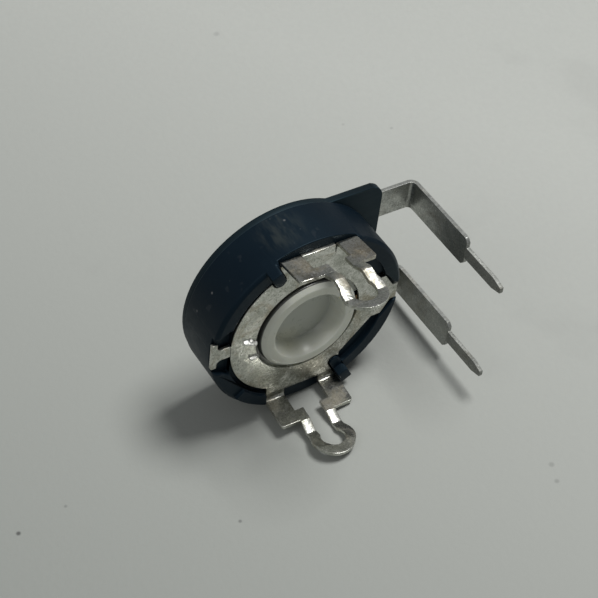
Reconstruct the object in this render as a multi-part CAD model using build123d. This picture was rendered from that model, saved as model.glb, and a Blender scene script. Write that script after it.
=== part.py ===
from build123d import *
import os
from math import cos, radians, sin, tan

# Trimmer potentiometer with an open stamped collector plate.
#
# The pieces are drawn about the rotor's own axis. The rotor turns on Z, the
# plate side looks along +Z, the end terminals leave the housing along +X, and
# the two middle terminals stand at +Y and -Y. Z = 0 lies just under the
# plate's front face. At the end the whole thing is turned as it lies on a
# table: on the housing's back edge, the board's lower corner and the crimps of
# one middle terminal, with the plate side facing -Y and +Z up.

# Housing: a moulded cup, open at the back, with a seat for the plate in its rim
housing_radius = 7.6
housing_wall = 0.9
housing_back = -3.75
rim_front = 0.15
rim_chamfer = 0.22
seat_radius_margin = 0.3
lip_thickness = 0.7
lip_opening_radius = 4.9
arm_slot_margin = 0.12
tee_slot_depth = 0.5
tee_slot_outer_half_width = 1.5
tee_slot_inner_half_width = 2.2
tongue_slot_margin = 0.2
tongue_slot_depth = 0.6
stop_rib_half_angle = 28.5
stop_rib_reach = 1.3

# Two pegs that hold the plate, across from each other, and a rib on the rim
peg_angles = (-62.0, 118.0)
peg_half_width = 0.42
peg_nose_reach = 2.15
peg_nose_height = 0.12
peg_post_length = 1.05
peg_height = 0.85
rib_middle_angle = -126.0
rib_half_angle = 13.0
rib_width = 0.85
rib_height = 0.25

# Board: the plate at the back that carries the track and the end terminals
board_inset = 0.1
board_thickness = 0.55
board_lug = 0.45
board_shoulder = 0.85
board_corner_radius = 1.1

# Resistive track and its silvered ends
track_inner_radius = 3.75
track_outer_radius = 4.95
track_thickness = 0.06
pad_start_angle = 37.0
pad_end_angle = 54.5
pad_edge_gap = 0.1
pad_thickness = 0.08

# End terminals: straps along the board's back, bent forward to solder pins
sheet = 0.3
strap_width = 2.4
strap_overhang = 3.05
strap_bend_radius = 0.35
terminal_shoulder = 2.45
shoulder_chamfer = 0.3
terminal_tip = 6.55
tip_width = 0.95
tip_taper_length = 0.9
tip_end_width = 0.45

# Rivets that hold the end terminals to the board
rivet_angle = 46.7
rivet_edge_distance = 0.83
rivet_radius = 0.45
rivet_bore_radius = 0.22
back_head_radius = 0.85
back_head_height = 0.28
front_head_radius = 0.68
front_head_height = 0.2
back_head_chamfer = 0.18
front_head_chamfer = 0.12

# Collector plate: ring, side tee, side tongue and two middle terminals in one sheet
plate_front = 0.05
ring_outer_radius = 6.15
ring_opening_radius = 4.15
sill_end = 6.85
lower_sill = 6.2
sill_relief = 0.1
ring_flat_distance = 5.25
ring_flat_angle = 43.0
tee_neck_width = 1.0
tee_head_width = 2.3
tee_head_length = 0.42
tee_corner_radius = 0.36
tongue_root_half_width = 1.85
tongue_root_reach = 6.2
tongue_half_width = 0.7
tongue_taper_reach = 6.9
tongue_inset = 0.25

# Middle terminals, each a foot that carries a U of two crimped legs
leg_plane = 6.85
leg_bend_radius = 0.25
foot_splay = 8.0
foot_half_width = 2.95
foot_shift = 0.12
foot_length = 2.5
foot_corner_radius = 0.25
foot_opening_half_width = 1.42
foot_opening_length = 1.6
slot_half_width = 0.68
leg_width = 0.76
loop_radius = 1.62
loop_slot_radius = 0.88
upper_leg_shift = 0.42
leg_length = 6.6
lower_leg_shift = 0.08
lower_leg_shortfall = 0.35
crimp_start = 2.6
crimp_out_angle = 26.0
crimp_out_length = 1.0
crimp_in_angle = -13.0
crimp_in_length = 1.8

# Rotor
rotor_face_radius = 3.85
rotor_face_height = 0.42
rotor_bevel = 0.35
flange_radius = 4.6
flange_thickness = 1.4
journal_radius = 3.0
key_flat_distance = 2.7
hub_radius = 2.2
recess_radius = 2.85
recess_floor_radius = 2.35
recess_depth = 1.35
back_slot_width = 0.8
back_slot_depth = 0.7
stop_tooth_half_angle = 17.5
stop_tooth_reach = 1.5
finger_window_half_angle = 15.0
finger_window_radius = 3.5

# Wiper spring under the rotor's flange
wiper_sheet = 0.15
wiper_outer_radius = 4.5
wiper_bend_radius = 0.06
track_finger_width = 0.75
track_finger_gap = 0.3
plate_finger_width = 1.0
finger_root_radius = 3.65
track_finger_radius = 4.2
plate_finger_radius = 4.2
finger_toe_length = 0.35
finger_toe_rise_length = 0.12
finger_toe_lift = 0.3

# Clearances
running_clearance = 0.05
contact_gap = 0.05
seat_clearance = 0.03
peg_clearance = 0.1
lip_clearance = 0.12

# How the part lies on the table
lean_about_rotor_axis = -7.22
lean_about_end_direction = -2.21

board_front = housing_back
board_back = board_front - board_thickness
board_radius = housing_radius - board_inset
board_reach = housing_radius + board_lug
board_half_height = housing_radius - board_shoulder
terminal_reach = board_reach + strap_overhang
strap_back = board_back - sheet
cavity_radius = housing_radius - housing_wall
pad_outer_radius = cavity_radius - pad_edge_gap
rivet_x = (pad_outer_radius - rivet_edge_distance) * cos(radians(rivet_angle))
rivet_y = (pad_outer_radius - rivet_edge_distance) * sin(radians(rivet_angle))
plate_back = plate_front - sheet
plate_middle = plate_front - sheet / 2
cavity_front = plate_back - lip_thickness
tee_reach = housing_radius
tongue_reach = housing_radius - tongue_inset
peg_nose_start = housing_radius - peg_nose_reach
peg_post_start = housing_radius - peg_post_length
flange_front = plate_back - running_clearance
flange_back = flange_front - flange_thickness
overcut = 1.0
bottom_up = (Align.CENTER, Align.CENTER, Align.MIN)


def disc(radius, z_low, z_high, x=0.0, y=0.0):
    return Pos(x, y, z_low) * Cylinder(radius, z_high - z_low, align=bottom_up)


def ring(outer, inner, z_low, z_high):
    return disc(outer, z_low, z_high) - disc(inner, z_low - overcut, z_high + overcut)


def block(x_range, y_range, z_range):
    low = (x_range[0], y_range[0], z_range[0])
    size = (x_range[1] - x_range[0], y_range[1] - y_range[0], z_range[1] - z_range[0])
    return Pos(*low) * Box(*size, align=(Align.MIN, Align.MIN, Align.MIN))


def sector(inner, outer, half_angle, middle_angle, z_low, z_high):
    """A piece of a ring, half_angle to each side of middle_angle."""
    far = 2 * outer / cos(radians(half_angle))
    spread = far * tan(radians(half_angle))
    wedge = Polygon((0, 0), (far, -spread), (far, spread), align=None)
    wedge = Pos(0, 0, z_low) * extrude(Rot(0, 0, middle_angle) * wedge, z_high - z_low)
    return ring(outer, inner, z_low, z_high) & wedge


def peg_plan(start, margin):
    """The outline of a peg seen from the plate side, with a round nose toward the axis."""
    half = peg_half_width + margin
    nose = Pos(start + peg_half_width, 0) * Circle(half)
    post = Rectangle(housing_radius, 2 * half, align=(Align.MIN, Align.CENTER))
    return nose + Pos(start + peg_half_width, 0) * post


def rivet_places():
    return [(rivet_x, side * rivet_y) for side in (1, -1)]


def rim_slots():
    """What is cut from the rim where the plate passes through it."""
    arm_slot_half_width = foot_half_width + arm_slot_margin
    slots = block((foot_shift - arm_slot_half_width, foot_shift + arm_slot_half_width),
                  (-2 * housing_radius, 2 * housing_radius), (plate_back, rim_front + overcut))
    far = tee_reach + overcut
    inner = tee_slot_inner_half_width
    outer = tee_slot_outer_half_width
    tee_slot = Polygon((-ring_outer_radius, -inner), (-ring_outer_radius, inner), (-tee_reach, outer),
                       (-far, outer), (-far, -outer), (-tee_reach, -outer), align=None)
    slots += Pos(0, 0, rim_front - tee_slot_depth) * extrude(tee_slot, tee_slot_depth + overcut)
    tongue_slot = extrude(tongue_plan(far, tongue_slot_margin) - Circle(ring_outer_radius),
                          tongue_slot_depth + overcut)
    return slots + Pos(0, 0, rim_front - tongue_slot_depth) * tongue_slot


def make_peg(angle):
    """A peg that holds the plate: a low round nose in the plate's notch and a taller post at the rim."""
    inside = Circle(housing_radius)
    nose = Rot(0, 0, angle) * peg_plan(peg_nose_start, 0) & inside
    post = Rot(0, 0, angle) * (Pos(peg_post_start, 0) * Rectangle(
        housing_radius, 2 * peg_half_width, align=(Align.MIN, Align.CENTER))) & inside
    low = Pos(0, 0, cavity_front) * extrude(nose, plate_front + peg_nose_height - cavity_front)
    return low + Pos(0, 0, cavity_front) * extrude(post, peg_height - cavity_front)


def make_housing():
    body = disc(housing_radius, housing_back, rim_front)
    body = chamfer(body.edges().group_by(Axis.Z)[-1], rim_chamfer)
    body -= disc(cavity_radius, housing_back - overcut, cavity_front)
    body -= disc(lip_opening_radius, cavity_front - overcut, rim_front + overcut)
    body -= disc(ring_outer_radius + seat_radius_margin, plate_back, rim_front + overcut)
    rib_outer = housing_radius - rim_chamfer
    body += sector(rib_outer - rib_width, rib_outer, rib_half_angle, rib_middle_angle,
                   rim_front, rim_front + rib_height)
    body -= rim_slots()
    body += sector(cavity_radius - stop_rib_reach, cavity_radius + seat_clearance, stop_rib_half_angle, 0,
                   flange_back, cavity_front)
    for angle in peg_angles:
        body += make_peg(angle)
    return body


def make_board():
    outline = Rectangle(board_reach, 2 * board_half_height, align=(Align.MIN, Align.CENTER))
    far_corners = outline.vertices().group_by(Axis.X)[-1]
    outline = fillet(far_corners, board_corner_radius) + Circle(board_radius)
    outline -= Circle(hub_radius + running_clearance)
    for x, y in rivet_places():
        outline -= Pos(x, y) * Circle(rivet_radius + seat_clearance)
    return Pos(0, 0, board_back) * extrude(outline, board_thickness)


def make_track():
    half_gap = pad_end_angle
    top = board_front + track_thickness
    full = ring(track_outer_radius, track_inner_radius, board_front, top)
    return full - sector(track_inner_radius - overcut, track_outer_radius + overcut, half_gap, 0,
                         board_front - overcut, top + overcut)


def make_end_pad(side):
    half_angle = (pad_end_angle - pad_start_angle) / 2
    middle = side * (pad_end_angle + pad_start_angle) / 2
    pad = sector(track_inner_radius, pad_outer_radius, half_angle, middle,
                 board_front, board_front + pad_thickness)
    return pad - disc(rivet_radius + seat_clearance, board_front - overcut, 0,
                      rivet_x, side * rivet_y)


def make_end_terminal(side):
    """A strap from the rivet to the bend, then a pin with shoulders and a narrow tip."""
    y = side * rivet_y
    strap_middle = board_back - sheet / 2
    pin_middle = terminal_reach - sheet / 2
    start = rivet_x - strap_width / 2
    path = FilletPolyline((start, strap_middle), (pin_middle, strap_middle),
                          (pin_middle, terminal_tip), radius=strap_bend_radius + sheet / 2)
    folded = extrude(Plane.XZ.offset(-y) * trace(path, sheet), strap_width / 2, both=True)
    half = strap_width / 2
    tip = tip_width / 2
    end = tip_end_width / 2
    front = Polyline((-half, strap_back), (-half, terminal_shoulder - shoulder_chamfer),
                     (-half + shoulder_chamfer, terminal_shoulder), (-tip, terminal_shoulder),
                     (-tip, terminal_tip - tip_taper_length), (-end, terminal_tip),
                     (end, terminal_tip), (tip, terminal_tip - tip_taper_length),
                     (tip, terminal_shoulder), (half - shoulder_chamfer, terminal_shoulder),
                     (half, terminal_shoulder - shoulder_chamfer), (half, strap_back), close=True)
    outline = Plane.YZ.offset(start) * (Pos(y, 0) * make_face(front))
    terminal = folded & extrude(outline, terminal_reach - start)
    plan = Pos(rivet_x, y) * Circle(half)
    plan += Pos(rivet_x, y) * Rectangle(terminal_reach, strap_width, align=(Align.MIN, Align.CENTER))
    plan -= Pos(rivet_x, y) * Circle(rivet_radius + seat_clearance)
    return terminal & (Pos(0, 0, strap_back) * extrude(plan, terminal_tip - strap_back))


def make_rivets():
    rivets = []
    pad_top = board_front + pad_thickness
    back = strap_back - back_head_height
    front = pad_top + front_head_height
    for x, y in rivet_places():
        rivet = disc(rivet_radius, back, front, x, y)
        back_head = disc(back_head_radius, back, strap_back, x, y)
        rivet += chamfer(back_head.edges().group_by(Axis.Z)[0], back_head_chamfer)
        front_head = disc(front_head_radius, pad_top, front, x, y)
        rivet += chamfer(front_head.edges().group_by(Axis.Z)[-1], front_head_chamfer)
        rivets.append(rivet - disc(rivet_bore_radius, back - overcut, front + overcut, x, y))
    return Part() + rivets


def leg_path(leg_length):
    """The middle of a middle terminal's sheet, from the ring to the loop's end, as (out, forward)."""
    points = [(lip_opening_radius, plate_middle), (leg_plane, plate_middle)]
    stretches = [(foot_splay, crimp_start - plate_middle), (crimp_out_angle, crimp_out_length),
                 (crimp_in_angle, crimp_in_length)]
    for angle, length in stretches:
        out, forward = points[-1]
        points.append((out + length * sin(radians(angle)), forward + length * cos(radians(angle))))
    out, forward = points[-1]
    points.append((out + (leg_length - forward) * tan(radians(foot_splay)), leg_length))
    return FilletPolyline(*points, radius=leg_bend_radius + sheet / 2)


def leg_outline(leg_shift, leg_length):
    """A middle terminal seen from its flat side: a foot, two legs and a round loop."""
    corner = (Align.CENTER, Align.MIN)
    loop_height = leg_length - loop_radius
    foot = Rectangle(2 * foot_half_width, foot_length - plate_back, align=corner)
    foot = fillet(foot.vertices().group_by(Axis.Y)[-1], foot_corner_radius)
    foot = Pos(foot_shift, plate_back) * foot
    legs = Rectangle(2 * (slot_half_width + leg_width), loop_height, align=corner)
    legs += Pos(0, loop_height) * Circle(loop_radius)
    slot = Rectangle(2 * slot_half_width, loop_height, align=corner)
    slot += Pos(0, loop_height) * Circle(loop_slot_radius)
    opening = Rectangle(2 * foot_opening_half_width, foot_opening_length - plate_back, align=corner)
    outline = foot + Pos(leg_shift, 0) * legs - Pos(leg_shift, 0) * slot
    return outline - Pos(foot_shift, plate_back) * opening


def make_middle_terminal(leg_shift, leg_length):
    """The +Y middle terminal: the folded sheet cut to its outline."""
    folded = extrude(Plane.YZ * trace(leg_path(leg_length), sheet), 2 * foot_half_width, both=True)
    outline = extrude(Plane.XZ * leg_outline(leg_shift, leg_length), -2 * leg_plane)
    return folded & outline


def tee_plan():
    """The tee at the plate's side, with round inner corners."""
    start = Align.MIN
    neck = Pos(-tee_reach, 0) * Rectangle(tee_reach, tee_neck_width, align=(start, Align.CENTER))
    head = Pos(-tee_reach, 0) * Rectangle(tee_head_length, tee_head_width, align=(start, Align.CENTER))
    tee = neck + head
    inner = [corner for corner in tee.vertices()
             if abs(corner.X + tee_reach - tee_head_length) < sheet / 10]
    return fillet([corner for corner in inner if abs(corner.Y) < tee_neck_width], tee_corner_radius)


def tongue_plan(reach, margin):
    """The tongue at the plate's other side, wide at the ring and narrow in the rim's slot."""
    root = tongue_root_half_width + margin
    tip = tongue_half_width + margin
    taper = tongue_taper_reach + margin
    return Polygon((0, -root), (tongue_root_reach, -root), (taper, -tip), (reach, -tip),
                   (reach, tip), (taper, tip), (tongue_root_reach, root), (0, root), align=None)


def make_plate_sheet():
    """The flat of the plate, before the middle terminals are joined to it."""
    arm_end = leg_plane - leg_bend_radius - sheet / 2
    arms = Pos(foot_shift, 0) * Rectangle(2 * foot_half_width, 2 * arm_end)
    outline = Circle(ring_outer_radius)
    for side in (1, -1):
        outline -= Rot(0, 0, side * ring_flat_angle) * (Pos(ring_flat_distance, 0) * right_half())
    outline += arms + tee_plan() + tongue_plan(tongue_reach, 0)
    up = (Align.CENTER, Align.MIN)
    opening = Rectangle(2 * foot_opening_half_width, leg_plane, align=up)
    sill = Rectangle(2 * (foot_opening_half_width - sill_relief), sill_end, align=up)
    outline -= Pos(foot_shift, lower_sill) * opening
    outline -= Pos(foot_shift, -lower_sill) * (Rot(0, 0, 180) * opening)
    outline += Pos(foot_shift, 0) * sill
    outline -= Circle(ring_opening_radius)
    return Pos(0, 0, plate_back) * extrude(outline, sheet)


def right_half():
    return Rectangle(2 * tee_reach, 4 * tee_reach, align=(Align.MIN, Align.CENTER))


def make_collector_plate():
    upper = make_middle_terminal(upper_leg_shift, leg_length)
    lower = mirror(make_middle_terminal(lower_leg_shift, leg_length - lower_leg_shortfall), about=Plane.XZ)
    plate = make_plate_sheet() + upper + lower
    for angle in peg_angles:
        notch = extrude(Rot(0, 0, angle) * peg_plan(peg_nose_start, peg_clearance), 2 * sheet)
        plate -= Pos(0, 0, plate_middle - sheet) * notch
    return plate


def make_rotor():
    face = disc(rotor_face_radius, flange_front, rotor_face_height)
    face = chamfer(face.edges().group_by(Axis.Z)[-1], rotor_bevel)
    rotor = face + disc(flange_radius, flange_back, flange_front)
    tooth_top = cavity_front - lip_clearance
    rotor += sector(journal_radius, flange_radius + stop_tooth_reach, stop_tooth_half_angle, 180,
                    flange_back, tooth_top)
    rotor -= sector(finger_window_radius, flange_radius + overcut, finger_window_half_angle, 0,
                    flange_back - overcut, flange_front)
    journal_end = board_front + running_clearance
    journal = disc(journal_radius, journal_end, flange_back)
    flats = Rectangle(2 * key_flat_distance, 3 * journal_radius)
    rotor += journal & (Pos(0, 0, journal_end) * extrude(flats, flange_back - journal_end))
    rotor += disc(hub_radius, strap_back, journal_end)
    rotor -= make_recess()
    slot = block((-back_slot_width / 2, back_slot_width / 2), (-hub_radius, hub_radius),
                 (strap_back - overcut, strap_back + back_slot_depth))
    return rotor - slot


def make_recess():
    """The dished drive recess in the rotor's face."""
    floor = rotor_face_height - recess_depth
    return Pos(0, 0, floor) * Cone(recess_floor_radius, recess_radius, recess_depth, align=bottom_up)


def finger(root, points, width, y_middle):
    path = FilletPolyline(root, *points, radius=wiper_bend_radius + wiper_sheet / 2)
    return extrude(Plane.XZ.offset(-y_middle) * trace(path, wiper_sheet), width / 2, both=True)


def finger_points(start_level, contact_radius, contact_level, toe_lift):
    """A finger's path outward from its root: down or up to its flat contact, then a lifted toe."""
    toe = contact_radius + finger_toe_length
    return [(finger_root_radius, start_level), (contact_radius, contact_level),
            (toe, contact_level), (toe + finger_toe_rise_length, contact_level + toe_lift)]


def make_wiper():
    """A ring keyed on the rotor, two fingers down to the track and one up to the plate."""
    top = flange_back
    low = top - wiper_sheet
    hole = Rectangle(2 * (key_flat_distance + seat_clearance), 3 * journal_radius)
    hole &= Circle(journal_radius + seat_clearance)
    wiper = disc(wiper_outer_radius, low, top) - Pos(0, 0, low - overcut) * extrude(hole, 3 * overcut)
    pair = 2 * track_finger_width + track_finger_gap
    cut = pair + 2 * track_finger_gap
    wiper -= block((-wiper_outer_radius - overcut, -finger_root_radius), (-cut / 2, cut / 2),
                   (low - overcut, top + overcut))
    wiper -= block((finger_root_radius, wiper_outer_radius + overcut), (-cut / 2, cut / 2),
                   (low - overcut, top + overcut))
    middle = top - wiper_sheet / 2
    root = key_flat_distance + 2 * seat_clearance
    track_level = board_front + track_thickness + contact_gap + wiper_sheet / 2
    down = finger_points(middle, track_finger_radius, track_level, finger_toe_lift)
    mirrored = [(-x, z) for x, z in down]
    for side in (1, -1):
        y_middle = side * (track_finger_gap + track_finger_width) / 2
        wiper += finger((-root, middle), mirrored, track_finger_width, y_middle)
    plate_level = plate_back - contact_gap - wiper_sheet / 2
    up = finger_points(middle, plate_finger_radius, plate_level, -finger_toe_lift)
    return wiper + finger((root, middle), up, plate_finger_width, 0)


def lie_down(shape):
    """Turns a piece from the rotor's frame to how the part lies: plate side to -Y, +Y up."""
    tilt = Rot(lean_about_end_direction, 0, 0) * Rot(0, 0, lean_about_rotor_axis)
    return Rot(90, 0, 0) * tilt * shape


def all_pieces():
    return {
        "housing": make_housing(),
        "track_board": make_board(),
        "carbon_track": make_track(),
        "end_pad_upper": make_end_pad(1),
        "end_pad_lower": make_end_pad(-1),
        "end_terminal_upper": make_end_terminal(1),
        "end_terminal_lower": make_end_terminal(-1),
        "terminal_rivets": make_rivets(),
        "collector_plate": make_collector_plate(),
        "rotor": make_rotor(),
        "wiper_spring": make_wiper(),
    }


os.makedirs("parts", exist_ok=True)
for name, piece in all_pieces().items():
    export_step(lie_down(piece), "parts/" + name + ".step")
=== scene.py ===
# %% [markdown]
# # An open trimmer potentiometer, dressed for its picture
#
# The solids of this part come from a CAD model: a black moulded housing, a
# white rotor, a stamped collector plate with two crimped middle terminals, and
# two end terminals on a track board. This lesson loads them as a fixed frame
# and gives each one its real finish. Lengths are in metres, and Z points up.

# %% Load the solids
from math import radians

import bpy
from mathutils import Matrix, Vector


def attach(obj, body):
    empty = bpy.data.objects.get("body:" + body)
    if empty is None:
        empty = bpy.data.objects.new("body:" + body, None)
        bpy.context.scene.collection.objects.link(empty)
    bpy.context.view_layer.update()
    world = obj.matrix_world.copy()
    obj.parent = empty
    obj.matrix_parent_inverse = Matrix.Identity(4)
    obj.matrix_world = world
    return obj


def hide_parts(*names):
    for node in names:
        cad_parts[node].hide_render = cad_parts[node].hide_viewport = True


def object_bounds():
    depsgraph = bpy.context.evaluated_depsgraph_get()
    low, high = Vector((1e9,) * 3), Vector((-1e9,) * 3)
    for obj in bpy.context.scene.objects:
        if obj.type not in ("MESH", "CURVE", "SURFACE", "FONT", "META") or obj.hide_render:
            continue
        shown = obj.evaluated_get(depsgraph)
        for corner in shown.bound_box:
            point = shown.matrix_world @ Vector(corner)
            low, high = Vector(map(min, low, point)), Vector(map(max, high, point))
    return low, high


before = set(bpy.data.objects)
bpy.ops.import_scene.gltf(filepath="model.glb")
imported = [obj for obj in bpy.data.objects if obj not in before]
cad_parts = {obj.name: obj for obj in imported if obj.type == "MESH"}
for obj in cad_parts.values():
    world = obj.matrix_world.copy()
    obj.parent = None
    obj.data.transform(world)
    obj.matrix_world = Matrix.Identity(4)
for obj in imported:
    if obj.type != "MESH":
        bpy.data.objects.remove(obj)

MM = 0.001
cad_low, cad_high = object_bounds()
print("nodes:", sorted(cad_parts))
print("size in mm:", [round(v / MM, 2) for v in cad_high - cad_low])

# %% [markdown]
# ## Two ways to say where something is
#
# The part leans on the table, so its own axis is not the scene's. Everything
# round on it is easier to describe about the rotor's axis. There, Z comes out of
# the plate side, +X is where the end terminals leave, and the middle terminals
# stand at +Y and -Y. One rotation carries that description into the scene.

# %% From the rotor's axis to the table
ON_ITS_EDGE = radians(90)
LEAN_ABOUT_AXIS = radians(-7.22)
LEAN_ABOUT_END = radians(-2.21)
to_scene = (Matrix.Rotation(ON_ITS_EDGE, 3, "X") @ Matrix.Rotation(LEAN_ABOUT_END, 3, "X")
            @ Matrix.Rotation(LEAN_ABOUT_AXIS, 3, "Z"))
to_axis = to_scene.inverted().to_euler("XYZ")
print("the rotor's axis in the scene:", [round(v, 4) for v in to_scene @ Vector((0, 0, 1))])


def about_axis(point):
    """A point of the scene, told about the rotor's axis in mm."""
    return to_scene.inverted() @ point / MM


# %% [markdown]
# ## The camera
#
# The picture was taken from above, with the lens about 120 mm away and the part
# turned a little to the left. The numbers below were found by matching the
# part's known corners to where they show in the picture, which is why they are
# not round.

# %% Set up the camera
CAMERA_PLACE = (-0.037769, -0.061300, 0.091955)
CAMERA_TURN = (38.8472, -0.1253, -30.9964)
LENS = 102.08
SENSOR = 36.0

camera_data = bpy.data.cameras.new("camera")
camera_data.lens = LENS
camera_data.sensor_width = SENSOR
camera_data.clip_start = MM
camera = bpy.data.objects.new("camera", camera_data)
camera.location = CAMERA_PLACE
camera.rotation_euler = [radians(v) for v in CAMERA_TURN]
bpy.context.scene.collection.objects.link(camera)
bpy.context.scene.camera = camera
print("camera at", CAMERA_PLACE)

# %% [markdown]
# ## Writing a finish as arithmetic
#
# A procedural finish is a network of small nodes. Wiring it by hand hides the
# idea behind it, so two small classes let it be written as sums and products.
# `Number` stands for one output of a node and turns `a + b` into a Math node.
# `Finish` is one material, and its `node` method makes any other node.

# %% Numbers that live in a material
class Number:
    def __init__(self, finish, socket):
        self.finish = finish
        self.socket = socket

    def maths(self, operation, first, second=0.0):
        return self.finish.node("ShaderNodeMath", {"operation": operation}, {0: first, 1: second})

    def __add__(self, other):
        return self.maths("ADD", self, other)

    def __sub__(self, other):
        return self.maths("SUBTRACT", self, other)

    def __rsub__(self, other):
        return self.maths("SUBTRACT", other, self)

    def __mul__(self, other):
        return self.maths("MULTIPLY", self, other)

    def __pow__(self, other):
        return self.maths("POWER", self, other)

    def __abs__(self):
        return self.maths("ABSOLUTE", self)

    __radd__ = __add__
    __rmul__ = __mul__


print("forms with the number on the right:", [n for n in vars(Number) if n.startswith("__r")])

# %% [markdown]
# The patterns all start from the object's own coordinates, which stay with the
# piece when it moves. A Mapping node turns them to the rotor's axis, so a spot
# or a radius on the part can be given in plain millimetres. Noise makes clouds
# and grain, a smooth step cuts a clean shape out of it, and a blend lays one
# colour over another. Every node is given its settings first and the values
# or links of its sockets second.

# %% A material with one node-making method
class Finish:
    def __init__(self, name, **fixed):
        self.material = bpy.data.materials.new(name)
        self.material.use_nodes = True
        self.tree = self.material.node_tree
        self.shader = next(n for n in self.tree.nodes if n.type == "BSDF_PRINCIPLED")
        for socket, value in fixed.items():
            self.shader.inputs[socket.replace("_", " ")].default_value = value
        self.table_place = self.node("ShaderNodeTexCoord", out="Object")
        self.place = self.node("ShaderNodeMapping", {},
                               {"Vector": self.table_place, "Rotation": to_axis})

    def node(self, kind, settings=None, sockets=None, out=0):
        made = self.tree.nodes.new(kind)
        for name, value in (settings or {}).items():
            setattr(made, name, value)
        for name, value in (sockets or {}).items():
            if isinstance(value, Number):
                self.tree.links.new(value.socket, made.inputs[name])
            else:
                made.inputs[name].default_value = value
        return Number(self, made.outputs[out])

    def stretched(self, scale, turn=(0, 0, 0)):
        return self.node("ShaderNodeMapping", {},
                         {"Vector": self.place, "Scale": scale, "Rotation": turn})

    def noise(self, per_metre, detail=3.0, rough=0.5, vector=None, twist=0.0):
        return self.node("ShaderNodeTexNoise", {},
                         {"Vector": vector or self.place, "Scale": per_metre, "Detail": detail,
                          "Roughness": rough, "Distortion": twist})

    def dots(self, per_metre, core, rim):
        """1 in small round dots. Core and rim are shares of the dots' spacing."""
        apart = self.node("ShaderNodeTexVoronoi", {}, {"Vector": self.place, "Scale": per_metre})
        return 1 - self.step(apart, core, rim)

    def step(self, value, low, high):
        return self.node("ShaderNodeMapRange", {"interpolation_type": "SMOOTHSTEP"},
                         {"Value": value, "From Min": low, "From Max": high})

    def ramp(self, value, low, high):
        return self.node("ShaderNodeMapRange", {},
                         {"Value": value, "From Min": low, "From Max": high})

    def blend(self, share, first, second):
        pair = {}
        for name, colour in ((6, first), (7, second)):
            pair[name] = colour if isinstance(colour, Number) else (*colour, 1.0)
        return self.node("ShaderNodeMix", {"data_type": "RGBA"}, {0: share, **pair}, out=2)

    def axes(self, place=None):
        split = self.node("ShaderNodeSeparateXYZ", {}, {0: place or self.place}).socket.node
        return [Number(self, split.outputs[i]) for i in range(3)]

    def radius(self):
        x, y, z = self.axes()
        return (x * x + y * y) ** 0.5

    def near(self, spot, reach, place=None):
        """1 at a spot, told in mm and about the rotor's axis, falling to 0 at the reach."""
        apart = self.node("ShaderNodeVectorMath", {"operation": "DISTANCE"},
                          {0: place or self.place, 1: [v * MM for v in spot]}, out=1)
        return 1 - self.step(apart, reach * 0.25, reach)

    def feed(self, **links):
        for socket, value in links.items():
            self.tree.links.new(value.socket, self.shader.inputs[socket.replace("_", " ")])

    def bump(self, height, depth):
        self.feed(Normal=self.node("ShaderNodeBump", {}, {"Height": height, "Distance": depth}))

    def done(self):
        print(self.material.name, "has", len(self.tree.nodes), "nodes")
        return self.material


print("a finish can make:", [name for name in vars(Finish) if not name.startswith("_")])

# %% [markdown]
# ## The black housing
#
# The housing is moulded in a black thermoset. New, it is half-matt, and the
# tool leaves a fine grain on it. Handling adds grey dust and hair-thin
# scratches that catch the light. A noise at several scales drives the
# roughness, and two sets of stretched noise make the scratches. The rest is
# scuffed streaks with a painted sheen on the wall's top, one side greyed in
# patches, a painted highlight on the rim and three pale specks.

# %% The finish of the black moulding
HOUSING_BLACKS = ((0.0013, 0.0047, 0.0098), (0.0036, 0.0096, 0.0162))
SCRATCH_GREY = (0.06, 0.065, 0.07)
GREYED = (0.040, 0.046, 0.046)
# Lighter grey for scuffed streaks on the wall's top, lightened further as a painted sheen
SCUFF_AND_SHEEN_GREY = (0.034, 0.038, 0.034)
# Grey of a painted highlight on the rim
RIM_HIGHLIGHT_GREY = (0.016, 0.026, 0.028)
DUST_GREY = (0.16, 0.16, 0.16)
# Areas of wear and of painted light: a place about the rotor's axis in mm, and how far each one
# reaches
# Scuffed streaks on the wall's top, with a painted sheen where the light falls
SCUFF_AND_SHEEN_ON_WALL = ((-1.6, 7.4, -2.3), 2.3 * MM)
GREYED_SIDE = ((-7.5, -1.1, -3.0), 3.4 * MM)
# Where a highlight is painted on the rounded rim
PAINTED_RIM_HIGHLIGHT = ((7.6, 1.9, -0.4), 2.6 * MM)
SPECKS = ((-6.57, 3.82, -2.19), (-7.34, 1.99, -2.68), (-0.9, 7.5, -2.9))
SPECK_REACH = 0.13 * MM


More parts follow.
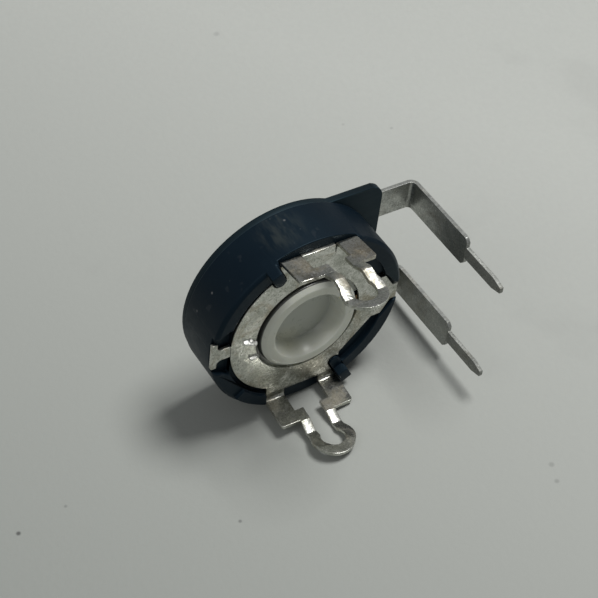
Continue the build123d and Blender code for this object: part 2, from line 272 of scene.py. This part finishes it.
def black_moulding():
    finish = Finish("black moulding", IOR=1.34, Specular_Tint=(0.55, 0.82, 1.0, 1.0))
    grain = finish.noise(2600, detail=4)
    cloud = finish.noise(260)

    one_way = finish.stretched((0.06, 1.6, 1.0), turn=(0, 0, 0.5))
    other_way = finish.stretched((1.5, 0.05, 1.0), turn=(0, 0.3, 1.1))
    scratches = (finish.step(finish.noise(900, 2, 0.6, one_way), 0.66, 0.74) * 0.6
                 + finish.step(finish.noise(900, 2, 0.6, other_way), 0.67, 0.75) * 0.4)
    dust = finish.dots(1500, 0.05, 0.11) * finish.step(cloud, 0.45, 0.7)
    for speck in SPECKS:
        dust = dust + finish.near(speck, SPECK_REACH) * 2

    drawn_out = finish.stretched((1, 1, 0.25))
    # Scuffed streaks on the wall's top, also painted lighter as a sheen
    scuff_and_sheen = (finish.near(*SCUFF_AND_SHEEN_ON_WALL)
             * finish.step(finish.noise(1400, 3, 0.7, drawn_out), 0.40, 0.66))
    greyed = (finish.near(*GREYED_SIDE)
              * finish.step(finish.noise(900, 4, 0.65), 0.35, 0.65))

    base = finish.blend(cloud, *HOUSING_BLACKS)
    base = finish.blend(scratches * 0.35, base, SCRATCH_GREY)
    base = finish.blend(greyed * 0.5, base, GREYED)
    base = finish.blend(scuff_and_sheen * 0.6, base, SCUFF_AND_SHEEN_GREY)
    # A painted highlight on the rim
    base = finish.blend(finish.near(*PAINTED_RIM_HIGHLIGHT) * 0.7, base, RIM_HIGHLIGHT_GREY)
    base = finish.blend(dust * 0.4, base, DUST_GREY)
    finish.feed(Base_Color=base,
                Roughness=0.36 + grain * 0.12 + cloud * 0.14 + dust * 0.2 + scuff_and_sheen * 0.12)
    finish.bump(grain * 0.5 + cloud * 0.5 - scratches * 0.5, depth=0.02 * MM)
    return finish.done()


finishes = {"housing": black_moulding()}

# %% [markdown]
# ## The track board
#
# The board is a punched laminate of paper and resin, nearly black, with layers
# that show on the cut edges. The layers are noise stretched flat across the
# board's thickness. Its cut edges and back are painted darker than its pressed
# front face, as shade that keeps the lit top edge from looking pale, so the
# height of that face is read from the solid.

# %% The finish of the board
BOARD_BLACKS = ((0.0034, 0.0125, 0.0205), (0.0085, 0.0215, 0.0290))
FIBRE_GREY = (0.013, 0.027, 0.033)
# Painted shade on the board's cut edges and back
PAINTED_EDGE_SHADE = (0.0030, 0.0060, 0.0085)
SKIN_DEPTH = 0.12 * MM
board_corners = [about_axis(v.co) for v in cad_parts["track_board"].data.vertices]
BOARD_FRONT = round(max(corner.z for corner in board_corners), 3) * MM
print("the board's front face is at", round(BOARD_FRONT / MM, 3), "mm")


def black_board():
    finish = Finish("black board", IOR=1.40, Specular_Tint=(0.60, 0.86, 1.0, 1.0))
    layers = finish.noise(900, 2, 0.5, finish.stretched((0.4, 0.4, 14.0)))
    fibre = finish.noise(1600, 3, 0.6, finish.stretched((0.3, 2.0, 1.0), turn=(0, 0, 0.2)))
    x, y, z = finish.axes()
    # 1 on the cut edges and the back, which are painted darker as shade
    behind = 1 - finish.step(z, BOARD_FRONT - SKIN_DEPTH, BOARD_FRONT - SKIN_DEPTH / 3)
    base = finish.blend(layers, *BOARD_BLACKS)
    base = finish.blend(fibre * 0.4, base, FIBRE_GREY)
    base = finish.blend(behind * 0.75, base, PAINTED_EDGE_SHADE)
    finish.feed(Base_Color=base, Roughness=0.44 + fibre * 0.22)
    finish.bump(fibre * 0.6 + layers * 0.4, depth=0.02 * MM)
    return finish.done()


finishes["track_board"] = black_board()

# %% [markdown]
# ## How the press left its mark on the terminals
#
# The crimps of the middle terminals were folded in a press. It left the upper
# crimps slightly rolled across their width, so a highlight fades to their
# sides. It left the lower terminal's foot and loop slightly dished away from
# its crimps, so they don't flash when the crimps do. Both are gentle slopes
# over flat faces, which a bump gives without any change to the solids.

# %% The slopes that the press left
CRIMPS_START = 2.6 * MM
CRIMPS_END = 5.2 * MM
DISHED_BY = 0.2
LEGS_MIDDLE = 0.42 * MM
TO_EACH_LEG = 1.26 * MM
ROLLED_BY = -280.0  # per metre: how fast the slope grows from the middle of a leg
# Where each mask fades in, in height in front of the plate or in y
LOWER_TERMINAL = (-6.5 * MM, -6.0 * MM)
UPPER_TERMINAL = (6.4 * MM, 6.8 * MM)
AFTER_FOOT = (2.4 * MM, 3.0 * MM)
AFTER_CRIMPS = (5.2 * MM, 5.8 * MM)


def pressed_slopes(finish):
    """Where the upper crimps are, and how high the press left the tin, in metres."""
    x, y, z = finish.axes()
    on_crimps = finish.node("ShaderNodeClamp", {},
                            {"Value": z, "Min": CRIMPS_START, "Max": CRIMPS_END})
    lower = 1 - finish.step(y, *LOWER_TERMINAL)
    upper = (finish.step(z, *AFTER_FOOT) * (1 - finish.step(z, *AFTER_CRIMPS))
             * finish.step(y, *UPPER_TERMINAL))
    across = abs(x - LEGS_MIDDLE) - TO_EACH_LEG
    return upper, (z - on_crimps) * lower * DISHED_BY + across * across * upper * ROLLED_BY


print("crimps from", CRIMPS_START / MM, "to", CRIMPS_END / MM, "mm in front of the plate")

# %% [markdown]
# ## Tinned steel
#
# The plate, the terminals and the rivets are steel with a thin coat of tin.
# Tin is bright where it is new, dull and mottled where it has aged, and
# brownish where the steel comes through. One function writes all of them, and
# its arguments say how aged and how bright each one is, and where it is painted
# darker as shade. The cut tips of the end terminals are made rougher, and there
# their colour is painted darker, as a dark reflection.

# %% The finish of the tinned pieces
BARE_STEEL = (0.34, 0.29, 0.19)
# Painted darker colour of the end terminals' cut tips, standing in for a dark reflection
PAINTED_DARK_TIP = (0.18, 0.185, 0.17)
SPECKLE = (0.13, 0.135, 0.11)
GLINT = (0.88, 0.88, 0.84)
PIT = (0.10, 0.095, 0.08)
TIP_STARTS = 2.5 * MM
DENT_DEPTH = 0.03 * MM


def tinned(name, bright, dull, stain, rough, streak=(1, 1, 1), stained_and_shaded=(), dented=1.0,
           rough_dark_tips=0.0):
    finish = Finish(name, Metallic=1.0)
    cloud = finish.noise(620, detail=5, rough=0.62, twist=0.6)
    dents = finish.noise(1500, detail=2)
    fine = finish.noise(7500, rough=0.7)
    rolled = finish.noise(1500, rough=0.6, vector=finish.stretched(streak))
    patches = finish.step(finish.noise(380, detail=4, rough=0.7, twist=1.2), 0.48, 0.66)
    age = finish.step(cloud * 0.6 + rolled * 0.2 + fine * 0.2, 0.40, 0.60)
    pits = finish.dots(1900, 0.06, 0.14)
    x, y, z = finish.axes()
    tip = finish.step(z, TIP_STARTS - 0.2 * MM, TIP_STARTS + 0.1 * MM) * rough_dark_tips

    base = finish.blend(age, bright, dull)
    base = finish.blend(patches * stain, base, BARE_STEEL)
    # Each area is laid on with a blotchy edge: tan stains, and painted shade on the lower ring,
    # the lower terminal and an upper foot's edge
    for spot, reach, amount, colour in stained_and_shaded:
        blotchy = finish.step(cloud * 0.5 + fine * 0.5, 0.30, 0.62)
        base = finish.blend(finish.near(spot, reach * MM) * blotchy * amount, base, colour)
    # The cut tips are painted darker, as a dark reflection
    base = finish.blend(tip * 0.35, base, PAINTED_DARK_TIP)
    base = finish.blend(finish.step(fine, 0.52, 0.70) * 0.6, base, SPECKLE)
    base = finish.blend((1 - finish.step(fine, 0.30, 0.44)) * 0.5, base, GLINT)
    base = finish.blend(pits * 0.5, base, PIT)
    finish.feed(Base_Color=base, Metallic=1 - patches * stain * 0.35,
                Roughness=rough + age * 0.08 + fine * 0.08 + patches * 0.10 + tip * 0.28)

    crimped, slopes = pressed_slopes(finish)
    uneven = (cloud * 0.5 + dents * 0.9 + rolled * 0.3 + fine * 0.12 - pits * 0.2
              + crimped * dents * 1.6)
    finish.bump(uneven * dented * DENT_DEPTH + slopes, depth=1.0)
    return finish.done()


# %% [markdown]
# Each row below is one dark or brown area: its place about the rotor's axis in
# mm, how far it reaches, how strong it is, and its colour. The third and fourth
# rows are tan stains on the upper terminal's feet. The others are painted shade:
# the first two darken the lower half of the ring and the last two the lower
# terminal's foot and loop, as the dark reflection of the shaded table, and the
# fifth darkens the front edge of the upper left foot.

# %% Give the tinned pieces their stains and painted shade
# Rows 1, 2, 6 and 7 are painted shade, the dark reflection of the shaded table; row 5 is painted
# shade on an edge; rows 3 and 4 are tan stains
TARNISH_AND_PAINTED_SHADE = (((-1.5, -5.2, 0.0), 4.2, 0.75, (0.20, 0.20, 0.165)),
             ((2.6, -4.6, 0.0), 3.4, 0.7, (0.22, 0.20, 0.16)),
             ((2.6, 6.9, 1.6), 1.9, 0.55, (0.36, 0.28, 0.18)),
             ((-1.9, 6.9, 1.5), 1.6, 0.5, (0.34, 0.28, 0.17)),
             ((-1.8, 6.9, 2.6), 1.2, 0.9, (0.12, 0.105, 0.08)),
             ((-1.8, -6.9, 1.5), 1.7, 0.35, (0.24, 0.24, 0.19)),
             ((0.1, -7.3, 5.6), 2.4, 0.5, (0.24, 0.24, 0.20)))

finishes["collector_plate"] = tinned("tinned plate", (0.72, 0.72, 0.67), (0.44, 0.45, 0.40),
                                     stain=0.6, rough=0.22, stained_and_shaded=TARNISH_AND_PAINTED_SHADE)
finishes["end_terminal_upper"] = tinned("tinned strap", (0.48, 0.49, 0.46), (0.36, 0.37, 0.35),
                                        stain=0.2, rough=0.34, streak=(1, 1, 0.08), rough_dark_tips=1.0)
finishes["end_terminal_lower"] = finishes["end_terminal_upper"]
finishes["terminal_rivets"] = tinned("tinned rivet", (0.58, 0.57, 0.54), (0.36, 0.35, 0.33),
                                     stain=0.2, rough=0.26)
print("tarnished areas on the plate:", len(TARNISH_AND_PAINTED_SHADE))

# %% [markdown]
# ## The white rotor
#
# The rotor is moulded in a milky nylon that lets a little light in, so its
# edges look soft and its thin floor looks grey where the dark inside shows
# through. Subsurface scattering gives the milkiness, and the distance from
# the axis says where the floor is. One side of its wall is painted dark, as
# the shade in the narrow gap around it.

# %% The finish of the rotor
NYLON_WHITES = ((0.58, 0.59, 0.52), (0.70, 0.71, 0.63))
FLOOR_GREY = (0.41, 0.43, 0.38)
PALE_YELLOW = (0.62, 0.61, 0.47)
# Painted shade on one side of the rotor's wall, in the gap around it
GAP_SHADE_BLACK = (0.020, 0.022, 0.020)
# A paler, yellower patch on the lower left of the rotor's floor
PALE_FLOOR_PATCH = ((-1.2, -2.1, -0.9), 1.7 * MM)
FLOOR_RADIUS = (2.2 * MM, 2.6 * MM)
FLOOR_HEIGHT = (-0.7 * MM, -0.2 * MM)
WALL_RADIUS = (3.76 * MM, 3.80 * MM)
WALL_HEIGHT = (0.33 * MM, 0.38 * MM)


def white_moulding():
    finish = Finish("white moulding", IOR=1.53, Subsurface_Weight=0.6, Subsurface_Scale=MM,
                    Subsurface_Radius=(1.0, 0.95, 0.8))
    cloud = finish.noise(300)
    grain = finish.noise(2400)
    flow = finish.noise(500, 3, 0.6, finish.stretched((0.3, 1.4, 1.0), turn=(0, 0, 0.7)))
    x, y, z = finish.axes()
    radius = finish.radius()
    floor = (1 - finish.step(radius, *FLOOR_RADIUS)) * (1 - finish.step(z, *FLOOR_HEIGHT))
    wall = finish.step(radius, *WALL_RADIUS) * (1 - finish.step(z, *WALL_HEIGHT))
    # Painted shade on one side of the wall, where the gap around the rotor is dark
    gap_shade = wall * finish.step(y - x, -0.5 * MM, 1.5 * MM)

    base = finish.blend(cloud * 0.6 + flow * 0.4, *NYLON_WHITES)
    base = finish.blend(floor * 0.7, base, FLOOR_GREY)
    base = finish.blend(finish.near(*PALE_FLOOR_PATCH) * 0.5, base, PALE_YELLOW)
    base = finish.blend(gap_shade * 0.93, base, GAP_SHADE_BLACK)
    finish.feed(Base_Color=base, Roughness=0.20 + grain * 0.08 + flow * 0.10)
    finish.bump(flow * 0.6 + grain * 0.3, depth=0.02 * MM)
    return finish.done()


finishes["rotor"] = white_moulding()

# %% [markdown]
# ## The wiper spring, the track and its silvered ends
#
# The spring is thin rolled bronze, warm and satin. The track is a printed film
# of carbon, deep black with a faint sheen where the wiper has rubbed it. The
# ends of the track are printed with silver paint, pale and grainy.

# %% The finish of the spring
BRONZES = ((0.44, 0.30, 0.17), (0.31, 0.20, 0.11))


def spring_bronze():
    finish = Finish("spring bronze", Metallic=1.0)
    rolled = finish.noise(1800, 3, 0.6, finish.stretched((0.12, 2.0, 1.0)))
    cloud = finish.noise(450, detail=4)
    finish.feed(Base_Color=finish.blend(cloud, *BRONZES),
                Roughness=0.26 + rolled * 0.2 + cloud * 0.1)
    finish.bump(rolled, depth=0.01 * MM)
    return finish.done()


finishes["wiper_spring"] = spring_bronze()

# %% The finishes of the track and its ends
CARBON_BLACKS = ((0.008, 0.008, 0.009), (0.022, 0.022, 0.023))
SILVERS = ((0.62, 0.61, 0.58), (0.46, 0.45, 0.42))
WIPED_RADIUS = 4.35 * MM
WIPED_SQUARE = 1.5e-7  # square metres: the wiped band reaches 0.39 mm each way


def carbon_film():
    finish = Finish("carbon film", IOR=1.6)
    grain = finish.noise(4200, detail=4)
    apart = finish.radius() - WIPED_RADIUS
    wiped = 1 - finish.step(apart * apart, 0.0, WIPED_SQUARE)
    finish.feed(Base_Color=finish.blend(grain, *CARBON_BLACKS),
                Roughness=0.62 + grain * 0.12 - wiped * 0.26)
    finish.bump(grain, depth=0.01 * MM)
    return finish.done()


def silver_print():
    finish = Finish("silver print", Metallic=0.85)
    grain = finish.noise(3800, detail=4)
    cloud = finish.noise(500)
    finish.feed(Base_Color=finish.blend(cloud, *SILVERS), Roughness=0.42 + grain * 0.25)
    finish.bump(grain, depth=0.015 * MM)
    return finish.done()


finishes["carbon_track"] = carbon_film()
finishes["end_pad_upper"] = silver_print()
finishes["end_pad_lower"] = finishes["end_pad_upper"]

# %% [markdown]
# ## Every node gets its finish
#
# The solids keep their own meshes, and only the material in each one's slot
# changes. The two end terminals share one finish, and so do the two silvered
# ends.

# %% Give every node its finish
for name, material in finishes.items():
    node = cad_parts[name]
    node.data.materials.clear()
    node.data.materials.append(material)
print("nodes with a finish:", len(finishes))

# %% [markdown]
# ## Edges that catch the light
#
# A solid from CAD has edges that are perfectly sharp, and a real stamping or
# moulding never has. Its edges are rounded by a few hundredths of a millimetre,
# and that thin round is what draws the bright line around a sheet of metal.
# It could be faked in the shader, but a real bevel also holds in close-up. Each
# node is copied, its loose triangles are merged, its flat faces are joined
# again, and a Bevel modifier rounds what is left. The copy stands for its node.

# %% A softened copy of a node
MERGE_WITHIN = 0.001 * MM
FLAT_BELOW = radians(0.5)
ROUND_ABOVE = radians(32)
SMOOTH_BELOW = radians(35)
ROUND_STEPS = 2
LARGEST_FACE_WINS = 100
ROTOR_NODES = ("rotor", "wiper_spring")


def pick(piece):
    bpy.ops.object.select_all(action="DESELECT")
    piece.select_set(True)
    bpy.context.view_layer.objects.active = piece


def softened(node_name, piece_name, round_by):
    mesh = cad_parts[node_name].data.copy()
    piece = bpy.data.objects.new(piece_name, mesh)
    bpy.context.scene.collection.objects.link(piece)
    pick(piece)
    bpy.ops.object.mode_set(mode="EDIT")
    bpy.ops.mesh.select_all(action="SELECT")
    bpy.ops.mesh.remove_doubles(threshold=MERGE_WITHIN)
    bpy.ops.mesh.dissolve_limited(angle_limit=FLAT_BELOW)
    bpy.ops.object.mode_set(mode="OBJECT")

    bevel = piece.modifiers.new("round", "BEVEL")
    bevel.width = round_by
    bevel.segments = ROUND_STEPS
    bevel.limit_method = "ANGLE"
    bevel.angle_limit = ROUND_ABOVE
    bevel.use_clamp_overlap = False
    bpy.ops.object.modifier_apply(modifier="round")
    bpy.ops.object.shade_smooth_by_angle(angle=SMOOTH_BELOW)
    flatten = piece.modifiers.new("keep flats flat", "WEIGHTED_NORMAL")
    flatten.weight = LARGEST_FACE_WINS
    flatten.keep_sharp = True
    bpy.ops.object.modifier_apply(modifier="keep flats flat")

    mesh.materials.clear()
    mesh.materials.append(finishes[node_name])
    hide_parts(node_name)
    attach(piece, "rotor_unit" if node_name in ROTOR_NODES else "base")
    print(piece_name, "faces:", len(mesh.polygons))
    return piece


# %% [markdown]
# Sheet metal gets the tightest round and the mouldings a wider one, since a
# mould can't hold a sharp corner. The track, its ends and the spring lie
# inside, where no edge can be seen to shine, so they keep their own meshes.

# %% Soften the pieces that the light reaches
SOFTENED = (("collector_plate", "stamped_plate", 0.04, "tinned_plate"),
            ("end_terminal_upper", "pin_upper", 0.03, "tinned_strap"),
            ("end_terminal_lower", "pin_lower", 0.03, "tinned_strap"),
            ("rotor", "dished_rotor", 0.06, "white_moulding"),
            ("housing", "moulded_housing", 0.07, "black_moulding"),
            ("terminal_rivets", "rolled_rivets", 0.05, "tinned_rivet"),
            ("track_board", "punched_board", 0.04, "black_board"))
rounded = {piece_name: softened(node_name, piece_name, round_by * MM)
           for node_name, piece_name, round_by, slot in SOFTENED}

# %% [markdown]
# The picture shows the board's far end a quarter of a millimetre short of the
# solid's. That end is pushed back in the copy, as a last pass of the punch
# would have trimmed it.

# %% Trim the board's end
BOARD_END_FROM = 7.0
TRIM = (-0.28, 0, 0)


def push(piece, chosen, by):
    """Move the corners that `chosen` picks, both told about the rotor's axis in mm."""
    pick(piece)
    for corner in piece.data.vertices:
        corner.select = chosen(*about_axis(corner.co))
    for side in (*piece.data.edges, *piece.data.polygons):
        side.select = all(piece.data.vertices[i].select for i in side.vertices)
    bpy.ops.object.mode_set(mode="EDIT")
    bpy.ops.transform.translate(value=to_scene @ Vector(by) * MM)
    bpy.ops.object.mode_set(mode="OBJECT")


push(rounded["punched_board"], lambda x, y, z: x > BOARD_END_FROM, TRIM)
ends = [about_axis(v.co).x for v in rounded["punched_board"].data.vertices]
print("board's end now at", round(max(ends), 2))

# %% [markdown]
# ## Scales of bright metal on the ring
#
# Where a tool has nicked the ring, a few scales of bright metal stand up from
# it and flash in the light. They are too steep for a bump map, so each is a
# small eight-sided disc with bevelled rims, tilted to the light and half sunk
# into the sheet. One is modelled, and the others are copies of its mesh.

# %% Model one scale
SCALE_THICKNESS = 0.7 * MM
SCALE_BEVEL = 0.22 * MM
SCALE_UNEVEN = 0.03 * MM
FACETED_ABOVE = radians(12)
bpy.ops.object.select_all(action="DESELECT")
bpy.ops.mesh.primitive_cylinder_add(vertices=8, radius=MM, depth=SCALE_THICKNESS)
first_scale = bpy.context.object
bpy.ops.object.mode_set(mode="EDIT")
bpy.ops.mesh.select_all(action="SELECT")
bpy.ops.mesh.bevel(offset=SCALE_BEVEL, segments=2)
bpy.ops.transform.vertex_random(offset=SCALE_UNEVEN, seed=4)
bpy.ops.object.mode_set(mode="OBJECT")
bpy.ops.object.shade_smooth_by_angle(angle=FACETED_ABOVE)
print("faces in a scale:", len(first_scale.data.polygons))

# %% Set the scales on the ring
# Each scale is given as x and y on the ring in mm, and its size
SCALES = ((-5.02, 0.46, 0.21), (-4.80, 0.34, 0.19), (-4.56, 0.20, 0.23), (-4.30, 0.06, 0.20),
          (-4.62, 0.44, 0.14), (-4.44, -1.36, 0.18), (-4.22, -1.37, 0.19), (-4.02, -1.38, 0.14))
SCALE_LIFT = 0.13
SCALE_FACES = Vector((-0.085, 0.936, 0.339)).normalized()
tinned_scale = tinned("tinned scale", (0.88, 0.88, 0.84), (0.80, 0.80, 0.76),
                      stain=0.0, rough=0.30, dented=0.15)

scales = [first_scale]
for repeat in SCALES[1:]:
    scale = first_scale.copy()
    scale.data = first_scale.data.copy()
    bpy.context.scene.collection.objects.link(scale)
    scales.append(scale)
lean = SCALE_FACES.to_track_quat("Z", "Y").to_matrix()
for number, (scale, (x, y, size)) in enumerate(zip(scales, SCALES), start=1):
    scale.name = f"bright_scale_{number}"
    scale.matrix_world = (to_scene @ lean @ Matrix.Scale(size, 3)).to_4x4()
    scale.location = to_scene @ (Vector((x, y, SCALE_LIFT)) * MM)
    pick(scale)
    bpy.ops.object.transform_apply(location=True, rotation=True, scale=True)
    scale.data.materials.append(tinned_scale)
    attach(scale, "base")
print("scales set:", len(scales))

# %% [markdown]
# ## The table
#
# The part lies on a plain pale grey sheet, a little lighter towards the light.
# A fine fibre breaks up its tone, and a few small dark marks lie on it, as on
# any bench that is used.

# %% Lay the table
FLOOR_WIDTH = 1.6
LIGHTER_ACROSS = 14.0
LIGHTER_DEEP = 8.0
PAPER_GREYS = ((0.300, 0.316, 0.290), (0.535, 0.548, 0.510))
PAPER_FIBRE = (0.38, 0.39, 0.37)
PAPER_STAIN = (0.26, 0.26, 0.25)
MARK_BLACK = (0.06, 0.06, 0.06)
# Each mark is given as mm across and deep, how far it reaches in mm, and how dark it is
MARKS = ((-23.1, -0.3, 0.24, 0.8), (11.3, -14.4, 0.30, 0.25), (10.8, -15.7, 0.26, 0.28),
         (12.8, 36.3, 0.4, 0.18), (-9.7, -7.2, 0.19, 0.5), (-19.4, 0.0, 0.17, 0.35),
         (19.6, 19.0, 0.2, 0.2), (16.4, 21.4, 0.2, 0.15))

bpy.ops.mesh.primitive_plane_add(size=FLOOR_WIDTH, location=(0, 0, cad_low.z))
floor = bpy.context.object
floor.name = "table"

paper = Finish("pale paper", Roughness=0.75)
across, deep, up = paper.axes(paper.table_place)
lighter = across * LIGHTER_ACROSS + deep * LIGHTER_DEEP
fibres = paper.noise(2200, detail=4)
stained = paper.step(paper.noise(90, rough=0.6), 0.60, 0.75)
tone = paper.blend(paper.ramp(lighter, -0.5, 0.5), *PAPER_GREYS)
tone = paper.blend(fibres * 0.25, tone, PAPER_FIBRE)
tone = paper.blend(stained * 0.10, tone, PAPER_STAIN)
for x, y, reach, share in MARKS:
    mark = paper.near((x, y, 0), reach * MM, paper.table_place)
    tone = paper.blend(mark * share, tone, MARK_BLACK)
paper.feed(Base_Color=tone)
paper.bump(fibres, depth=0.02 * MM)
floor.data.materials.append(paper.done())

# %% [markdown]
# ## The light
#
# One broad lamp stands above and to the right, so the shadow falls to the left
# with a soft edge. A weak second lamp and an even room light keep the shaded
# side readable. The view transform is Standard, so colours show as written.

# %% Hang the lights
KEY_PLACE = (0.174, 0.0, 0.415)
FILL_PLACE = (-0.30, -0.05, 0.35)
ROOM_COLOUR = (0.94, 0.97, 1.0, 1.0)
ROOM_STRENGTH = 0.18


def soft_light(name, place, size, watts):
    lamp = bpy.data.lights.new(name, "AREA")
    lamp.shape = "DISK"
    lamp.size = size
    lamp.energy = watts
    made = bpy.data.objects.new(name, lamp)
    made.location = place
    made.rotation_euler = (-Vector(place)).to_track_quat("-Z", "Y").to_euler()
    bpy.context.scene.collection.objects.link(made)
    print(name, "gives", watts, "W")


soft_light("key light", KEY_PLACE, size=0.17, watts=1.58)
soft_light("fill light", FILL_PLACE, size=0.30, watts=0.22)

world = bpy.data.worlds.new("room")
world.use_nodes = True
world.node_tree.nodes["Background"].inputs["Color"].default_value = ROOM_COLOUR
world.node_tree.nodes["Background"].inputs["Strength"].default_value = ROOM_STRENGTH
bpy.context.scene.world = world
bpy.context.scene.view_settings.view_transform = "Standard"

# %% [markdown]
# ## The size of the result
#
# Only the box of the solids is printed, in mm, when they are loaded. The
# dressed part's box is not measured.
